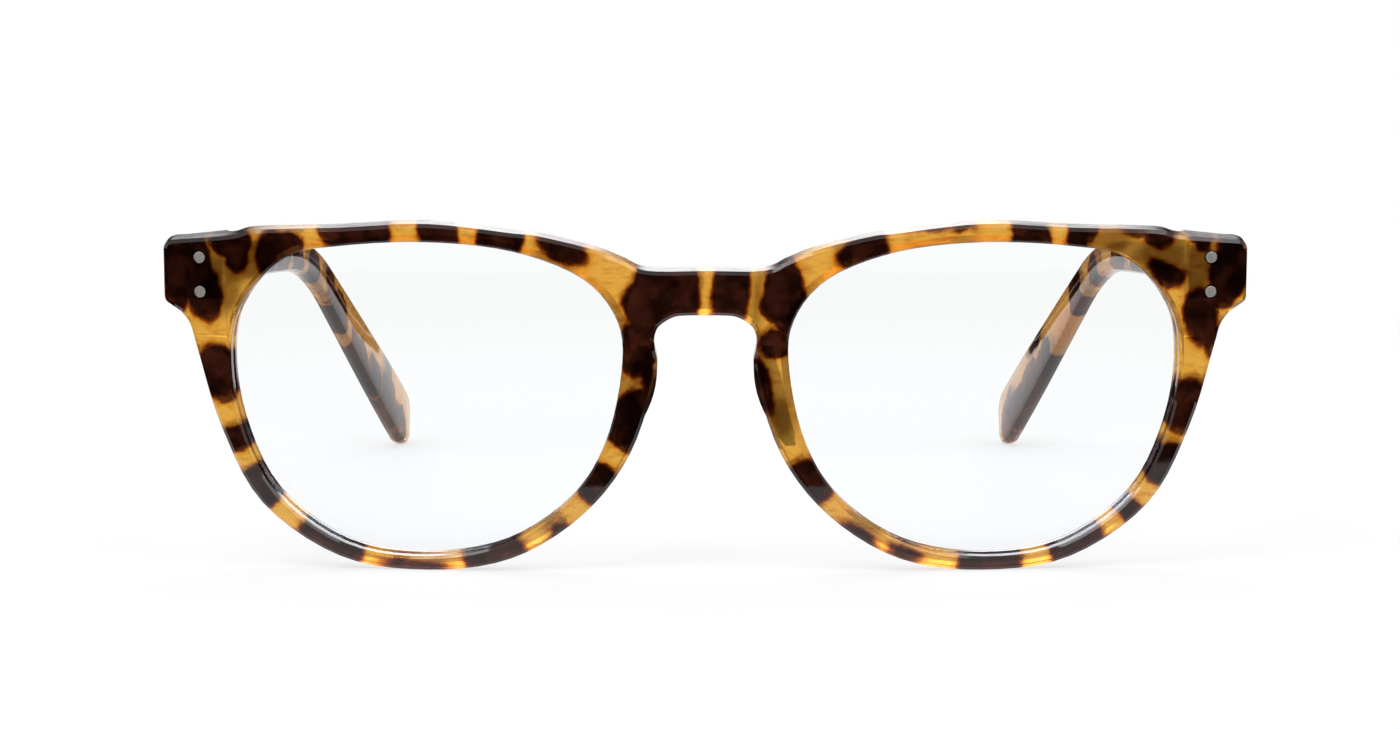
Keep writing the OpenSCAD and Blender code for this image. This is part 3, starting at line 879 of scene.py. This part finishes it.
@dataclass
class Studio:
    """The camera, the white table, the dark cards, the pale world and the soft lamps."""

    distance: float = 0.600
    front_line: float = -0.0703
    height: float = 0.0875
    aside: float = -0.00071
    pitch: float = math.radians(5.734)
    lens: float = 117.8
    card_edge: float = -0.105
    card_side: float = 0.112
    card_back: float = 1.2
    card_size: float = 2.0
    card_low: float = -0.62
    table_size: float = 6.0
    near_share: float = 0.7
    whiter_from: float = 0.12
    white_at: float = 0.35
    aim: tuple[float, float, float] = (0.0, 0.0, 0.02)

    def build(self) -> None:
        """Makes the camera first, then the table, the cards, the world and the lamps."""
        self.camera()
        self.table()
        self.cards()
        self.world()
        self.lamp("key", place=(-0.35, -0.55, 0.75), size=0.55, power=4.2)
        self.lamp("fill", place=(0.45, -0.45, 0.6), size=0.6, power=2.6)
        self.lamp("back", place=(0.0, 0.5, 0.55), size=0.8, power=4.5)

    def camera(self) -> None:
        """Places the camera at the photograph's viewing angle."""
        data = bpy.data.cameras.new("camera")
        data.sensor_width = 36.0
        data.lens = self.lens
        data.clip_start = 0.01
        camera = bpy.data.objects.new("camera", data)
        camera.location = (self.aside, self.front_line - self.distance, self.height)
        camera.rotation_euler = (math.pi / 2 - self.pitch, 0, 0)
        bpy.context.scene.collection.objects.link(camera)
        bpy.context.scene.camera = camera

    def table(self) -> None:
        """Adds the white table, which shows white and keeps a soft shadow."""
        Lathe.nothing_selected()
        bpy.ops.mesh.primitive_plane_add(size=self.table_size, location=(0, 0, 0))
        table = bpy.context.active_object
        table.name = "table"
        bench = Bench("table_white")
        seen = self.seen_directly(bench)
        lit = bench.add("ShaderNodeBsdfDiffuse", None, {"Color": paint(232, 232, 234)})
        white = bench.add("ShaderNodeEmission", None, {"Color": WHITE, "Strength": 1.0})
        far = bench.place().vector("LENGTH", out="Value").ease(self.whiter_from, self.white_at)
        share = seen * (far * (1 - self.near_share) + self.near_share)
        shown = bench.add("ShaderNodeMixShader", None, {0: share, 1: lit, 2: white})
        table.data.materials.append(bench.end(shown))

    def cards(self) -> None:
        """Sets dark cards round the glasses, which only gloss mirrors, so that polish reads dark."""
        bench = Bench("card_black")
        black = bench.end(bench.add("ShaderNodeBsdfDiffuse", None, {"Color": paint(8, 8, 9)}))
        half = self.card_size / 2
        places = {"front_card": ((0, self.card_edge - half, MM), 0.0),
                  "left_card": ((-self.card_side - half, 0, 2 * MM), 0.0),
                  "right_card": ((self.card_side + half, 0, 2 * MM), 0.0),
                  "back_card": ((0, self.card_back, self.card_low), math.pi / 2)}
        for name, (place, turn) in places.items():
            Lathe.nothing_selected()
            bpy.ops.mesh.primitive_plane_add(size=self.card_size, location=place, rotation=(turn, 0, 0))
            card = bpy.context.active_object
            card.name = name
            card.data.materials.append(black)
            card.visible_camera = False
            card.visible_diffuse = False
            card.visible_transmission = False
            card.visible_shadow = False

    @staticmethod
    def seen_directly(bench: Bench) -> Wire:
        """Whether a ray comes from the camera, a mirror or through glass.

        Args:
            bench: the node bench.

        Returns:
            1 for such a ray, else 0.
        """
        camera = bench.add("ShaderNodeLightPath", out="Is Camera Ray")
        gloss = bench.add("ShaderNodeLightPath", out="Is Glossy Ray")
        through = bench.add("ShaderNodeLightPath", out="Is Transmission Ray")
        return camera.math("MAXIMUM", gloss).math("MAXIMUM", through)

    def world(self) -> None:
        """Sets a plain pale world that looks white where it is seen."""
        world = bpy.data.worlds.new("studio_air")
        world.use_nodes = True
        bench = Bench.of_tree(world.node_tree)
        air = bench.add("ShaderNodeBackground", None, {"Color": paint(225, 227, 232), "Strength": 0.55})
        white = bench.add("ShaderNodeBackground", None, {"Color": WHITE, "Strength": 1.0})
        shown = bench.add("ShaderNodeMixShader", None, {0: self.seen_directly(bench), 1: air, 2: white})
        bench.add_output(shown, "ShaderNodeOutputWorld")
        bpy.context.scene.world = world

    def lamp(self, name: str, place: tuple[float, float, float], size: float, power: float) -> None:
        """Adds a soft lamp that points at the glasses.

        Args:
            name: the lamp's name.
            place: where it hangs.
            size: its width.
            power: its power in watts.
        """
        data = bpy.data.lights.new(name, "AREA")
        data.size = size
        data.energy = power
        lamp = bpy.data.objects.new(name, data)
        lamp.location = place
        lamp.rotation_euler = (Vector(self.aim) - Vector(place)).to_track_quat("-Z", "Y").to_euler()
        bpy.context.scene.collection.objects.link(lamp)


def main() -> None:
    """Builds the studio and the glasses."""
    logging.basicConfig(level=logging.INFO, format="%(message)s")
    scene = bpy.context.scene
    scene.view_settings.view_transform = "Standard"
    Studio().build()
    for part in (Front(), Hinges(), Temples()):
        part.build()
        log.info("%s is done", type(part).__name__)


if __name__ == "__main__":
    main()
